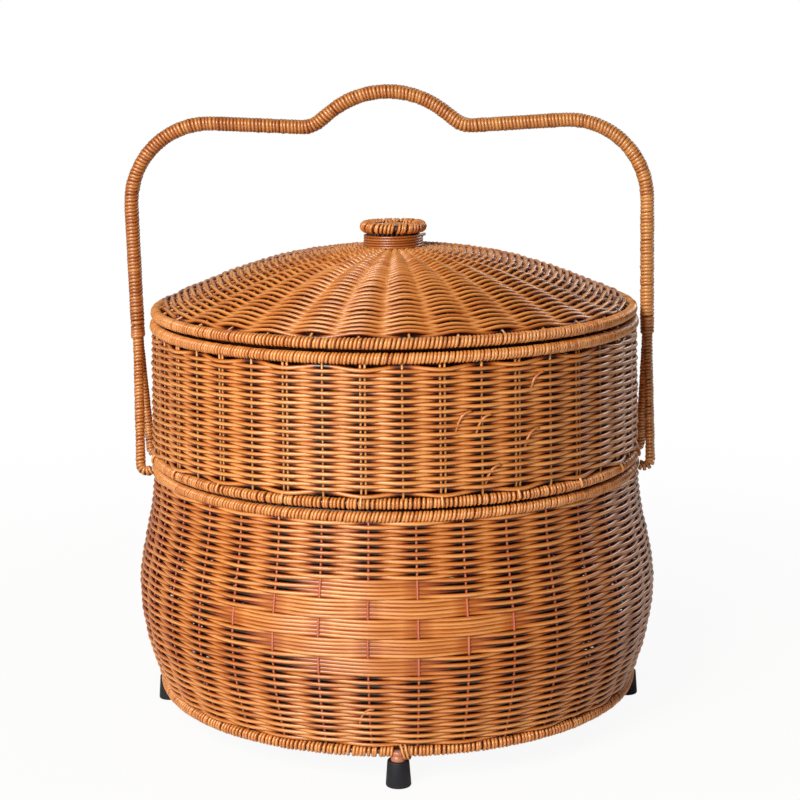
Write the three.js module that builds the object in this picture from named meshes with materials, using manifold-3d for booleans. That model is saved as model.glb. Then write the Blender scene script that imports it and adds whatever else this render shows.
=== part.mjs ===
// Tiered storage basket: a bulging lower basket on four rubber feet, a lift-out tray on its rim,
// a domed lid with a wound knob, and a fixed bail handle whose ends fork down to the lower rim.
// Millimetres, +Z up, front towards -Y, origin on the ground under the basket's centre.
import * as THREE from 'three';
import { mergeVertices } from 'three/addons/utils/BufferGeometryUtils.js';
import Module from 'manifold-3d';

// Driving dimensions of the basket body
const GAP = 0.3;                 // running gap between pieces that touch
const RING_D = 8.6;              // wrapped ring round the base, the lower rim and the tray's foot
const TOP_RING_D = 9.2;          // thicker wrapped ring of the tray's mouth and of the lid
const WALL_T = 6;                // woven wall, weavers outside and inside the stakes
const BASE_R = 184;              // centre line of the base ring
const RIM_R = 185.6;             // centre line of the lower rim and of the tray's foot ring
const BELLY_R = 198.2;           // middle of the wall at its widest
const BELLY_HEIGHT = 78;         // widest course above the base ring's underside
const LOWER_HEIGHT = 179.3;      // base ring underside to lower rim top
const TRAY_HEIGHT = 110;         // foot ring underside to mouth ring top
const TRAY_TAPER = 2;            // how much the tray draws in towards its mouth
const FLOOR_T = 5.6;             // woven floors
const LOCATOR_D = 6.4;           // cane hoop that centres a tier on the one below
const LOCATOR_CLEARANCE = 0.4;   // beside the ring that it drops into

// Weave of each wall: upright stakes, and courses of weavers that pass over and under them. A course
// stands for three or four strands of cane.
const LOWER_STAKES = 36;
const COURSES_BELOW_PANEL = 6;
const COURSES_ABOVE_PANEL = 3;
const COURSES_PER_BAND = 2;
const TRAY_STAKES = 42;
const TRAY_COURSES = 8;
const LID_STAKES = 33;           // an odd number, so that one weaver can run round and round
const LID_COURSES = 13;
const LID_TURN = 188.9;          // degrees from the front to the lid's first stake
const WEAVE_CROWN = 0.4;         // how far a weaver stands out of the wall's face over a stake
const WEAVE_DIP = 1.9;           // how far a bare stake lies behind that face
const WEAVE_SPAN_DIP = 1.4;      // and the weavers halfway between two stakes
const PANEL_BANDS = 5;           // block weave panel at the front of the lower basket
const PANEL_BAND_HEIGHT = 13.8;
const PANEL_BOTTOM = 65;         // above the base ring's underside
const PANEL_TURN = -5.7;         // degrees from the front to the panel's middle stake

// Feet
const FOOT_HEIGHT = 18.8;        // rubber cup
const FOOT_BASE_D = 18.2;
const FOOT_TOP_D = 15.6;
const FOOT_FLOOR = 2.5;
const POST_D = 10.4;             // cane post in the cup
const POST_SHOW = 2.3;           // bare post between cup and base ring
const POST_INSET = 0.7;          // post's centre inside the base ring's centre line
const POST_NOTCH = 1.2;          // how far the post's hollowed top reaches up round the base ring

// Handle
const HANDLE_D = 10.4;           // two rods bound side by side
const HANDLE_STANDOFF = 7.4;     // from the lower rim's outside to the centre line of the upright sides
const HANDLE_LEAN = 4.2;         // hand-bent: the grip stands this far left of the basket's middle
const HANDLE_SHOULDER_Z = 460;   // where the flat shoulders meet the sides
const HANDLE_CORNER_R = 61;
const VALLEY_HALF_WIDTH = 57.4;  // dips on both sides of the grip
const VALLEY_DROP = 7.1;         // dip below the shoulders
const VALLEY_R = 20;
const GRIP_R = 69.2;             // raised grip in the middle
const GRIP_RISE = 45.7;          // to the point where its two slopes would meet, above the dip
const GRIP_END = 16;             // from a dip to the plane where the grip and a side of the hoop meet
const FORK_Z = 307;              // where each side splits into two legs
const LEG_D = 7.2;
const LEG_SPREAD = 64;           // between the feet of a pair of legs
const LEG_STANDOFF = 8.6;        // from the lower rim's outside to the leg's centre line
const LEG_BEND_R = 5;
const LASHING_HEIGHT = 13;       // binding round the tops of a pair of legs
const LASHING_T = 1.5;

// Lid and knob
const LID_INSET = 1.1;           // lid ring inside the tray's mouth ring
const DOME_RISE = 39.8;
const DOME_SEAT_ANGLE = 8;       // degrees, where the dome's edge lies on the lid ring
const PLUG_STEM_D = 16;          // gathered stake ends through the middle of the lid
const KNOB_R = 21.6;             // centre line of the knob's ring
const KNOB_CORE_D = 2.4;
const KNOB_STRAND_D = 3;
const KNOB_TURNS = 24;
const NECK_HEIGHT = 11.1;        // from the dome to the knob's ring
const NECK_STRAND_D = 2.4;
const NECK_TURNS = 2;
const PLUG_CROWN = 3;            // rounded top of the plug inside the knob's ring

// Faceting
const ROUND = 40;
const TUBE_SIDES = 8;

// Heights that follow from the sizes above
const baseRingZ = FOOT_HEIGHT + POST_SHOW + RING_D / 2;
const underside = baseRingZ - RING_D / 2;
const lowerRimZ = underside + LOWER_HEIGHT - RING_D / 2;
const trayFootZ = lowerRimZ + RING_D + GAP;
const trayMouthZ = trayFootZ - RING_D / 2 + TRAY_HEIGHT - TOP_RING_D / 2;
const trayMouthR = RIM_R - TRAY_TAPER;
const lidR = trayMouthR - LID_INSET;
const lidRimZ = trayMouthZ + Math.sqrt((TOP_RING_D + GAP) ** 2 - LID_INSET ** 2);

// Colours and finishes
function finish(color, roughness, metalness = 0) {
  return new THREE.MeshStandardMaterial({ color, roughness, metalness });
}
const wicker = finish('#d48a3e', 0.5);
const wrapping = finish('#d8924a', 0.45);
const paleCane = finish('#c07c4c', 0.6);
const redStake = finish('#a9603a', 0.6);
const rubber = finish('#14181f', 0.75);

const basket = new THREE.Group();

function addPiece(parent, name, geometry, material) {
  const piece = new THREE.Mesh(geometry, material);
  piece.name = name;
  parent.add(piece);
  return piece;
}

// A closed ring of round section, lying flat at height z
function ring(radius, tubeD, z) {
  return new THREE.TorusGeometry(radius, tubeD / 2, TUBE_SIDES, ROUND).translate(0, 0, z);
}

// A solid of revolution about Z from a list of [radius, z] points
function turned(profile, segments = ROUND) {
  const points = profile.map(([r, z]) => new THREE.Vector2(r, z));
  return new THREE.LatheGeometry(points, segments).rotateX(Math.PI / 2);
}

// A closed surface from rings of points: each row of the grid joins the next, and the last the first
function gridSurface(columns, rows, pointAt, closeEnds) {
  const positions = [];
  const index = [];
  for (let i = 0; i < columns; i += 1) {
    for (let j = 0; j < rows; j += 1) positions.push(...pointAt(i, j));
  }
  const spans = closeEnds ? columns - 1 : columns;
  for (let i = 0; i < spans; i += 1) {
    const next = (i + 1) % columns;
    for (let j = 0; j < rows; j += 1) {
      const up = (j + 1) % rows;
      const a = i * rows + j;
      const b = next * rows + j;
      const c = next * rows + up;
      const d = i * rows + up;
      index.push(a, b, c, a, c, d);
    }
  }
  if (closeEnds) {
    const last = (columns - 1) * rows;
    for (let j = 1; j < rows - 1; j += 1) {
      index.push(0, j, j + 1);
      index.push(last, last + j + 1, last + j);
    }
  }
  const geometry = new THREE.BufferGeometry();
  geometry.setAttribute('position', new THREE.Float32BufferAttribute(positions, 3));
  geometry.setIndex(index);
  geometry.computeVertexNormals();
  return geometry;
}

// Places of even courses between two places along a wall
function evenCourses(courses, from = 0, to = 1) {
  return Array.from({ length: courses }, (_, k) => from + ((to - from) * (k + 0.5)) / courses);
}

// A woven wall of revolution. surface(t, offset) gives [radius, z] along the wall, t from 0 to 1. courses
// lists where its weavers lie, and over(stake, course) tells if they pass outside that stake. Its first
// stake is turn degrees from the front.
function wovenWall(surface, stakes, courses, innerLevels, turn, over) {
  const inside = Array.from({ length: innerLevels + 1 }, (_, k) => 1 - k / innerLevels);
  const places = [0, ...courses, 1, ...inside];
  return gridSurface(2 * stakes, places.length, (i, j) => {
    const angle = Math.PI * (i / stakes - 0.5) + THREE.MathUtils.degToRad(turn);
    const course = j - 1;
    let offset = j < courses.length + 2 ? WALL_T / 2 : -WALL_T / 2;
    if (course >= 0 && course < courses.length) {
      if (i % 2 === 1) offset -= WEAVE_SPAN_DIP;
      else offset += over(i / 2, course) ? WEAVE_CROWN : -WEAVE_DIP;
    }
    const [r, z] = surface(places[j], offset);
    return [r * Math.cos(angle), r * Math.sin(angle), z];
  });
}

// Plain weave: each course passes over every second stake, and the next course over the others
function plainWeave(stake, course) {
  return (stake + course) % 2 === 0;
}

// A smooth path through corner points, each rounded by its radius
function roundedPath(corners) {
  const path = new THREE.CurvePath();
  let from = corners[0].point.clone();
  for (let k = 1; k < corners.length - 1; k += 1) {
    const { point, radius } = corners[k];
    const back = corners[k - 1].point.clone().sub(point).normalize();
    const ahead = corners[k + 1].point.clone().sub(point).normalize();
    const turn = Math.PI - back.angleTo(ahead);
    const setback = radius * Math.tan(turn / 2);
    const handle = (4 / 3) * Math.tan(turn / 4) * radius;
    const start = point.clone().addScaledVector(back, setback);
    const end = point.clone().addScaledVector(ahead, setback);
    path.add(new THREE.LineCurve3(from, start));
    path.add(new THREE.CubicBezierCurve3(
      start,
      start.clone().addScaledVector(back, -handle),
      end.clone().addScaledVector(ahead, -handle),
      end,
    ));
    from = end;
  }
  path.add(new THREE.LineCurve3(from, corners[corners.length - 1].point));
  return path;
}

function corner(x, y, z, radius = 0) {
  return { point: new THREE.Vector3(x, y, z), radius };
}

// A round rod along a path
function rod(path, diameter, steps, sides) {
  const points = [];
  for (let k = 0; k < sides; k += 1) {
    const angle = (2 * Math.PI * k) / sides;
    points.push(new THREE.Vector2(Math.cos(angle), Math.sin(angle)).multiplyScalar(diameter / 2));
  }
  return new THREE.ExtrudeGeometry(new THREE.Shape(points), { steps, extrudePath: path, bevelEnabled: false });
}

// A wound strand: one unbroken tube along centre(u), u from 0 to 1, whose loops never touch
function windingTube(name, centre, strandD, steps, sides, stepsPerLoop) {
  const points = [];
  for (let i = 0; i <= steps; i += 1) points.push(centre(i / steps));
  let least = Infinity;
  for (let i = 0; i < points.length; i += 1) {
    for (let j = i + Math.floor(stepsPerLoop / 2); j < points.length; j += 1) {
      least = Math.min(least, points[i].distanceTo(points[j]) - strandD);
    }
  }
  console.log(`${name}: least gap of the winding to itself ${least.toFixed(2)} mm`);
  let side = new THREE.Vector3(0, 0, 1);
  return gridSurface(points.length, sides, (i, j) => {
    const ahead = points[Math.min(i + 1, points.length - 1)];
    const behind = points[Math.max(i - 1, 0)];
    const along = ahead.clone().sub(behind).normalize();
    if (j === 0) side = side.clone().addScaledVector(along, -side.dot(along)).normalize();
    const across = along.clone().cross(side);
    const angle = (-2 * Math.PI * j) / sides;
    const out = side.clone().multiplyScalar(Math.cos(angle)).addScaledVector(across, Math.sin(angle));
    return points[i].clone().addScaledVector(out, strandD / 2).toArray();
  }, true);
}

const wasm = await Module();
wasm.setup();

function toSolid(geometry) {
  const bare = geometry.clone();
  bare.deleteAttribute('normal');
  bare.deleteAttribute('uv');
  const merged = mergeVertices(bare, 1e-4);
  const mesh = new wasm.Mesh({
    numProp: 3,
    vertProperties: new Float32Array(merged.attributes.position.array),
    triVerts: new Uint32Array(merged.index.array),
  });
  return new wasm.Manifold(mesh);
}

function toGeometry(solid) {
  const mesh = solid.getMesh();
  const geometry = new THREE.BufferGeometry();
  geometry.setAttribute('position', new THREE.Float32BufferAttribute(mesh.vertProperties, 3));
  geometry.setIndex([...mesh.triVerts]);
  geometry.computeVertexNormals();
  return geometry;
}

// Lower basket: base ring, floor, bulging wall and rim
const lowerBasket = new THREE.Group();
basket.add(lowerBasket);

const wallBottomZ = baseRingZ + RING_D / 2 + GAP;
const wallTopZ = lowerRimZ - RING_D / 2 - GAP;
const bellyZ = underside + BELLY_HEIGHT;

function lowerWallRadius(z) {
  if (z < bellyZ) {
    const t = (z - wallBottomZ) / (bellyZ - wallBottomZ);
    return BASE_R + (BELLY_R - BASE_R) * Math.sin((Math.PI / 2) * t);
  }
  const t = (z - bellyZ) / (wallTopZ - bellyZ);
  return RIM_R + ((BELLY_R - RIM_R) * (1 + Math.cos(Math.PI * t))) / 2;
}

function lowerWallSurface(t, offset) {
  const z = wallBottomZ + (wallTopZ - wallBottomZ) * t;
  return [lowerWallRadius(z) + offset, z];
}

const panelFoot = (underside + PANEL_BOTTOM - wallBottomZ) / (wallTopZ - wallBottomZ);
const panelHead = panelFoot + (PANEL_BANDS * PANEL_BAND_HEIGHT) / (wallTopZ - wallBottomZ);
const lowerCourses = [
  ...evenCourses(COURSES_BELOW_PANEL, 0, panelFoot),
  ...evenCourses(COURSES_PER_BAND * PANEL_BANDS, panelFoot, panelHead),
  ...evenCourses(COURSES_ABOVE_PANEL, panelHead, 1),
];

// At the front the weave changes to blocks: each band hides every second stake and bares the others,
// and the bands get narrower above and below the middle one
function lowerWeave(stake, course) {
  const band = Math.floor((course - COURSES_BELOW_PANEL) / COURSES_PER_BAND);
  const middle = (PANEL_BANDS - 1) / 2;
  const fromMiddle = Math.abs(band - middle);
  const fromFront = Math.min(stake, LOWER_STAKES - stake);
  if (fromMiddle > middle || fromFront > middle + 1 - fromMiddle) return plainWeave(stake, course);
  return (fromFront + fromMiddle + middle) % 2 === 0;
}

const lowerWall = wovenWall(lowerWallSurface, LOWER_STAKES, lowerCourses, 4, PANEL_TURN, lowerWeave);
addPiece(lowerBasket, 'lower_wall', lowerWall, wicker);
addPiece(lowerBasket, 'base_ring', ring(BASE_R, RING_D, baseRingZ), wrapping);
addPiece(lowerBasket, 'lower_rim', ring(RIM_R, RING_D, lowerRimZ), wrapping);

function floorDisc(radius, bottomZ) {
  return turned([[0, bottomZ], [radius, bottomZ], [radius, bottomZ + FLOOR_T], [0, bottomZ + FLOOR_T]]);
}

addPiece(lowerBasket, 'lower_floor', floorDisc(BASE_R - RING_D / 2 - GAP, baseRingZ - FLOOR_T / 2), redStake);

// Feet: a cane post with a hollowed top under the base ring, in a flared rubber cup
function footCup() {
  const bore = POST_D / 2 + GAP;
  const edge = 0.8;
  return turned([
    [0, 0],
    [FOOT_BASE_D / 2 - edge, 0],
    [FOOT_BASE_D / 2, edge],
    [FOOT_TOP_D / 2, FOOT_HEIGHT - edge],
    [FOOT_TOP_D / 2 - edge, FOOT_HEIGHT],
    [bore, FOOT_HEIGHT],
    [bore, FOOT_FLOOR],
    [0, FOOT_FLOOR],
  ], 16);
}

const postR = BASE_R - POST_INSET;

function footPost() {
  const bottom = FOOT_FLOOR + GAP;
  const top = underside + POST_NOTCH;
  const post = new THREE.CylinderGeometry(POST_D / 2, POST_D / 2, top - bottom, 12);
  post.rotateX(Math.PI / 2).translate(0, 0, (top + bottom) / 2);
  const saddle = new THREE.CylinderGeometry(RING_D / 2 + GAP, RING_D / 2 + GAP, 2 * POST_D, 16);
  saddle.rotateZ(Math.PI / 2).translate(0, -POST_INSET, baseRingZ);
  return toGeometry(toSolid(post).subtract(toSolid(saddle)));
}

['front', 'right', 'back', 'left'].forEach((side, k) => {
  const foot = new THREE.Group();
  foot.rotation.z = (Math.PI / 2) * k;
  lowerBasket.add(foot);
  addPiece(foot, `foot_cup_${side}`, footCup(), rubber).position.set(0, -postR, 0);
  addPiece(foot, `foot_post_${side}`, footPost(), paleCane).position.set(0, -postR, 0);
});

// Handle: a bent hoop of two rods bound together, which part at the fork into four legs. The hoop is cut
// in three where its grip begins.
const rimOutside = RIM_R + RING_D / 2;
const handleHalfWidth = rimOutside + HANDLE_STANDOFF;
const valleyZ = HANDLE_SHOULDER_Z - VALLEY_DROP;
const gripTopZ = valleyZ + GRIP_RISE;

function lean(z) {
  return (-HANDLE_LEAN * (z - lowerRimZ)) / (gripTopZ - lowerRimZ);
}

function handleCorner(x, y, z, radius = 0) {
  return corner(x + lean(z), y, z, radius);
}

// A point on the hoop's flat shoulder, so far outwards from the dip
function onShoulder(sideX, outwards) {
  const share = outwards / (handleHalfWidth - VALLEY_HALF_WIDTH);
  return [sideX * (VALLEY_HALF_WIDTH + outwards), 0, valleyZ + VALLEY_DROP * share];
}

addPiece(lowerBasket, 'handle_grip', rod(roundedPath([
  handleCorner(...onShoulder(-1, GRIP_END - GAP / 2)),
  handleCorner(-VALLEY_HALF_WIDTH, 0, valleyZ, VALLEY_R),
  handleCorner(0, 0, gripTopZ, GRIP_R),
  handleCorner(VALLEY_HALF_WIDTH, 0, valleyZ, VALLEY_R),
  handleCorner(...onShoulder(1, GRIP_END - GAP / 2)),
]), HANDLE_D, 26, 8), wrapping);

for (const [side, sideX] of [['left', -1], ['right', 1]]) {
  addPiece(lowerBasket, `handle_side_${side}`, rod(roundedPath([
    handleCorner(sideX * handleHalfWidth, 0, FORK_Z),
    handleCorner(sideX * handleHalfWidth, 0, HANDLE_SHOULDER_Z, HANDLE_CORNER_R),
    handleCorner(...onShoulder(sideX, GRIP_END + GAP / 2)),
  ]), HANDLE_D, 20, 8), wrapping);
}

const legTop = FORK_Z - GAP;
const legPairY = LEG_D / 2 + GAP / 2;

function legPath(sideX, sideY) {
  const bearing = Math.asin(LEG_SPREAD / 2 / (rimOutside + LEG_STANDOFF));
  const onBearing = (r) => [sideX * r * Math.cos(bearing), sideY * r * Math.sin(bearing), lowerRimZ];
  return roundedPath([
    handleCorner(sideX * handleHalfWidth, sideY * legPairY, legTop),
    handleCorner(sideX * handleHalfWidth, sideY * legPairY, legTop - LASHING_HEIGHT - LEG_D, LEG_D),
    corner(...onBearing(rimOutside + LEG_STANDOFF), LEG_BEND_R),
    corner(...onBearing(rimOutside + GAP)),
  ]);
}

// Binding: a flat oval sleeve round the tops of both legs, under the hoop's end
function lashing() {
  const oval = (clear) => {
    const r = LEG_D / 2 + clear;
    const shape = new THREE.Shape();
    shape.absarc(0, legPairY, r, 0, Math.PI, false);
    shape.absarc(0, -legPairY, r, Math.PI, 2 * Math.PI, false);
    shape.closePath();
    return shape;
  };
  const sleeve = oval(GAP + LASHING_T);
  sleeve.holes.push(oval(GAP));
  return new THREE.ExtrudeGeometry(sleeve, { depth: LASHING_HEIGHT, bevelEnabled: false, curveSegments: 6 });
}

for (const [side, sideX] of [['left', -1], ['right', 1]]) {
  for (const [end, sideY] of [['front', -1], ['back', 1]]) {
    addPiece(lowerBasket, `handle_leg_${side}_${end}`, rod(legPath(sideX, sideY), LEG_D, 16, 6), wrapping);
  }
  const binding = addPiece(lowerBasket, `handle_binding_${side}`, lashing(), wrapping);
  binding.rotation.y = Math.atan(lean(lowerRimZ + 1));
  binding.position.set(sideX * handleHalfWidth + lean(legTop - LASHING_HEIGHT), 0, legTop - LASHING_HEIGHT);
}

// Tray: foot ring on the lower rim, floor, straight wall and mouth ring
const tray = new THREE.Group();
basket.add(tray);

const trayWallBottomZ = trayFootZ + RING_D / 2 + GAP;
const trayWallTopZ = trayMouthZ - TOP_RING_D / 2 - GAP;

function trayWallSurface(t, offset) {
  return [RIM_R - TRAY_TAPER * t + offset, trayWallBottomZ + (trayWallTopZ - trayWallBottomZ) * t];
}

const trayWall = wovenWall(trayWallSurface, TRAY_STAKES, evenCourses(TRAY_COURSES), 1, 0, plainWeave);
addPiece(tray, 'tray_wall', trayWall, wicker);
addPiece(tray, 'tray_foot_ring', ring(RIM_R, RING_D, trayFootZ), wrapping);
addPiece(tray, 'tray_mouth_ring', ring(trayMouthR, TOP_RING_D, trayMouthZ), wrapping);

const trayFloorZ = trayFootZ - RING_D / 2 + GAP;
addPiece(tray, 'tray_floor', floorDisc(RIM_R - RING_D / 2 - GAP, trayFloorZ), redStake);

const trayLocatorR = RIM_R - RING_D / 2 - LOCATOR_CLEARANCE - LOCATOR_D / 2;
addPiece(tray, 'tray_locator', ring(trayLocatorR, LOCATOR_D, trayFloorZ - GAP - LOCATOR_D / 2), paleCane);

// Lid: ring on the tray's mouth, low dome, and a hoop underneath that drops inside the mouth
const lid = new THREE.Group();
basket.add(lid);

addPiece(lid, 'lid_ring', ring(lidR, TOP_RING_D, lidRimZ), wrapping);

const lidLocatorR = trayMouthR - TOP_RING_D / 2 - LOCATOR_CLEARANCE - LOCATOR_D / 2;
const locatorReach = TOP_RING_D / 2 + LOCATOR_D / 2 + GAP;
const lidLocatorZ = lidRimZ - Math.sqrt(locatorReach ** 2 - (lidR - lidLocatorR) ** 2);
addPiece(lid, 'lid_locator', ring(lidLocatorR, LOCATOR_D, lidLocatorZ), paleCane);

const seat = THREE.MathUtils.degToRad(DOME_SEAT_ANGLE);
const domeEdgeR = lidR - (TOP_RING_D / 2 + GAP) * Math.cos(seat);
const domeEdgeZ = lidRimZ + (TOP_RING_D / 2 + GAP) * Math.sin(seat) + WALL_T / 2;
const domeSphereR = (domeEdgeR ** 2 + DOME_RISE ** 2) / (2 * DOME_RISE);
const domeTopZ = domeEdgeZ + DOME_RISE;

function domeHeight(r) {
  return domeTopZ - domeSphereR + Math.sqrt(domeSphereR ** 2 - r ** 2);
}

const domeHoleR = PLUG_STEM_D / 2 + GAP;

function domeSurface(t, offset) {
  const r = domeEdgeR + (domeHoleR - domeEdgeR) * t;
  return [r, domeHeight(r) + offset];
}

const dome = wovenWall(domeSurface, LID_STAKES, evenCourses(LID_COURSES), 3, LID_TURN, plainWeave);
addPiece(lid, 'lid_dome', dome, wicker);

// Knob: the gathered stake ends stand up as a plug, with a coiled neck and a wound ring round it
const neckFootZ = domeHeight(KNOB_R) + WALL_T / 2 + WEAVE_CROWN;
const knobTube = KNOB_CORE_D + 2 * (KNOB_STRAND_D + GAP);
const knobZ = neckFootZ + NECK_HEIGHT + knobTube / 2;
const neckInnerR = KNOB_R - NECK_STRAND_D / 2 - GAP;
const plugShoulderZ = neckFootZ + NECK_HEIGHT - GAP;
const plugTopR = KNOB_R - knobTube / 2 - GAP;

addPiece(lid, 'knob_plug', turned([
  [0, domeHeight(0) - WALL_T / 2],
  [PLUG_STEM_D / 2, domeHeight(0) - WALL_T / 2],
  [PLUG_STEM_D / 2, domeTopZ + WALL_T / 2 + WEAVE_CROWN + GAP],
  [neckInnerR, domeTopZ + WALL_T / 2 + WEAVE_CROWN + GAP],
  [neckInnerR, plugShoulderZ],
  [plugTopR, plugShoulderZ],
  [plugTopR, knobZ],
  [plugTopR / 2, knobZ + PLUG_CROWN * 0.75],
  [0, knobZ + PLUG_CROWN],
], 24), paleCane);

const neckRise = NECK_HEIGHT - NECK_STRAND_D - 2 * GAP;

function neckCentre(u) {
  const angle = 2 * Math.PI * NECK_TURNS * u;
  const z = neckFootZ + GAP + NECK_STRAND_D / 2 + neckRise * u;
  return new THREE.Vector3(KNOB_R * Math.cos(angle), KNOB_R * Math.sin(angle), z);
}

addPiece(lid, 'knob_neck', windingTube('knob_neck', neckCentre, NECK_STRAND_D, 24 * NECK_TURNS, 6, 24), wrapping);

const knobHelixR = KNOB_CORE_D / 2 + GAP + KNOB_STRAND_D / 2;
const knobOpenShare = 1 - 0.6 / KNOB_TURNS;

function knobCentre(u) {
  const round = 2 * Math.PI * knobOpenShare * u;
  const loop = 2 * Math.PI * KNOB_TURNS * u;
  const r = KNOB_R + knobHelixR * Math.cos(loop);
  return new THREE.Vector3(r * Math.cos(round), r * Math.sin(round), knobZ + knobHelixR * Math.sin(loop));
}

const knobCore = new THREE.TorusGeometry(KNOB_R, KNOB_CORE_D / 2, 5, 24).translate(0, 0, knobZ);
addPiece(lid, 'knob_core', knobCore, paleCane);
addPiece(lid, 'knob_winding', windingTube('knob_winding', knobCentre, KNOB_STRAND_D, 8 * KNOB_TURNS, 5, 8), wrapping);

export default basket;
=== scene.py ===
import math

import bpy
import numpy as np
from mathutils import Matrix, Vector


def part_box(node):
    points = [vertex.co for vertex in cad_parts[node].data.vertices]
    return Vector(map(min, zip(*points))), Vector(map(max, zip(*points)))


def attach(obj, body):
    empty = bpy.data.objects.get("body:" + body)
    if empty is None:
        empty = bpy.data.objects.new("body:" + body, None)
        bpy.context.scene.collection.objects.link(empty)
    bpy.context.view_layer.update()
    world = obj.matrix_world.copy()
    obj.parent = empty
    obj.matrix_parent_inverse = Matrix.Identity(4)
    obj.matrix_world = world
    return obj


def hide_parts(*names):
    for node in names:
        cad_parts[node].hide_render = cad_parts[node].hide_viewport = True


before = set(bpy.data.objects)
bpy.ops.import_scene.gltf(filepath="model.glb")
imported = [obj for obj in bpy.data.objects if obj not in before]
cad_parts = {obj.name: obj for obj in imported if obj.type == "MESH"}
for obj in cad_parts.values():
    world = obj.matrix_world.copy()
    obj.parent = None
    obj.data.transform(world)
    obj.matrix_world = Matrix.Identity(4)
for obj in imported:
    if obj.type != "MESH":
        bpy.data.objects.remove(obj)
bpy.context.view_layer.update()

# Camera: the photograph was taken from 1.4 m away and a little above the handle, with a long lens,
# and its horizon leans by half a degree.
FOCAL_PX = 1824
PHOTO_PX = 800
SENSOR_MM = 36
EYE = (0.00382, -1.3982, 0.5138)
PITCH_DOWN = 0.1923
ROLL = -0.0103

lens = bpy.data.cameras.new("photo_camera")
lens.sensor_width = SENSOR_MM
lens.lens = FOCAL_PX / PHOTO_PX * SENSOR_MM
camera = bpy.data.objects.new("photo_camera", lens)
bpy.context.scene.collection.objects.link(camera)
tilt = Matrix.Rotation(math.pi / 2 - PITCH_DOWN, 4, "X") @ Matrix.Rotation(ROLL, 4, "Z")
camera.matrix_world = Matrix.Translation(EYE) @ tilt
bpy.context.scene.camera = camera


# Stage and light: white paper that shows the basket's shadow only in a soft round spot under it, a soft key
# lamp in front on the left, a weak lamp behind on the right, and a dim surround, brighter at the back.
def linear(colour):
    """A colour written as sRGB hex, in the linear values that the shaders take."""
    channels = [int(colour[i:i + 2], 16) / 255 for i in (1, 3, 5)]
    return [c / 12.92 if c <= 0.04045 else ((c + 0.055) / 1.055) ** 2.4 for c in channels] + [1.0]


def add_node(tree, kind, inputs=None, **settings):
    """Adds a node: settings are its own, and an input takes a value or the socket that feeds it."""
    made = tree.nodes.new(kind)
    for name, value in settings.items():
        setattr(made, name, value)
    for key, value in (inputs or {}).items():
        if isinstance(value, bpy.types.NodeSocket):
            tree.links.new(value, made.inputs[key])
        else:
            made.inputs[key].default_value = value
    return made


FLOOR_HALF = 9.0
SHADOW_MIDDLE = (0, 0.07, 0)
SHADOW_FADE = (0.14, 0.2)
SHADOW_LEFT = 0.07
SURROUND = 0.06
BACKDROP = 0.28
BACKDROP_FROM = 0.2
LIT_POINT = (0, 0, 0.24)
KEY_PLACE, KEY_SIZE, KEY_WATTS = (-1.2, -2.05, 1.65), 1.2, 87
EDGE_PLACE, EDGE_SIZE, EDGE_WATTS = (1.3, 1.2, 1.1), 0.6, 8

floor_mesh = bpy.data.meshes.new("studio_floor")
floor_corners = [(x * FLOOR_HALF, y * FLOOR_HALF, 0) for x, y in ((-1, -1), (1, -1), (1, 1), (-1, 1))]
floor_mesh.from_pydata(floor_corners, [], [(0, 1, 2, 3)])
studio_floor = bpy.data.objects.new("studio_floor", floor_mesh)
bpy.context.scene.collection.objects.link(studio_floor)

# The camera sees the paper's own shading in the middle and plain white further out; light that falls
# on the basket always comes from the shaded paper.
paper = bpy.data.materials.new("matt_white_paper")
paper.use_nodes = True
tree = paper.node_tree
tree.nodes.clear()
sees = add_node(tree, "ShaderNodeLightPath")
matt = add_node(tree, "ShaderNodeBsdfDiffuse", {"Color": linear("#EFEFEF")})
glow = add_node(tree, "ShaderNodeEmission", {"Color": (1, 1, 1, 1), "Strength": 1.0})
spot = add_node(tree, "ShaderNodeNewGeometry")
away = add_node(tree, "ShaderNodeVectorMath", {0: spot.outputs["Position"], 1: SHADOW_MIDDLE},
                operation="DISTANCE")
bare = add_node(tree, "ShaderNodeValToRGB", {"Fac": away.outputs["Value"]})
bare.color_ramp.elements[0].position = SHADOW_FADE[0]
bare.color_ramp.elements.new(SHADOW_FADE[1]).color = [1 - SHADOW_LEFT] * 3 + [1.0]
plain = add_node(tree, "ShaderNodeMath", {0: sees.outputs["Is Camera Ray"], 1: bare.outputs[0]},
                 operation="MULTIPLY")
paper_mix = add_node(tree, "ShaderNodeMixShader",
                     {0: plain.outputs[0], 1: matt.outputs[0], 2: glow.outputs[0]})
add_node(tree, "ShaderNodeOutputMaterial", {"Surface": paper_mix.outputs[0]})
floor_mesh.materials.append(paper)

world = bpy.data.worlds.new("pale_surround")
bpy.context.scene.world = world
world.use_nodes = True
tree = world.node_tree
tree.nodes.clear()
sees = add_node(tree, "ShaderNodeLightPath")
toward = add_node(tree, "ShaderNodeTexCoord")
apart = add_node(tree, "ShaderNodeSeparateXYZ", {0: toward.outputs["Generated"]})
dim = add_node(tree, "ShaderNodeMapRange", {"Value": apart.outputs["Y"], "From Min": BACKDROP_FROM,
               "To Min": SURROUND, "To Max": SURROUND + BACKDROP})
shine = add_node(tree, "ShaderNodeMath", {0: dim.outputs[0], 1: sees.outputs["Is Camera Ray"]},
                 operation="MAXIMUM")
sky = add_node(tree, "ShaderNodeBackground", {"Color": (1, 1, 1, 1), "Strength": shine.outputs[0]})
add_node(tree, "ShaderNodeOutputWorld", {"Surface": sky.outputs[0]})


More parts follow.
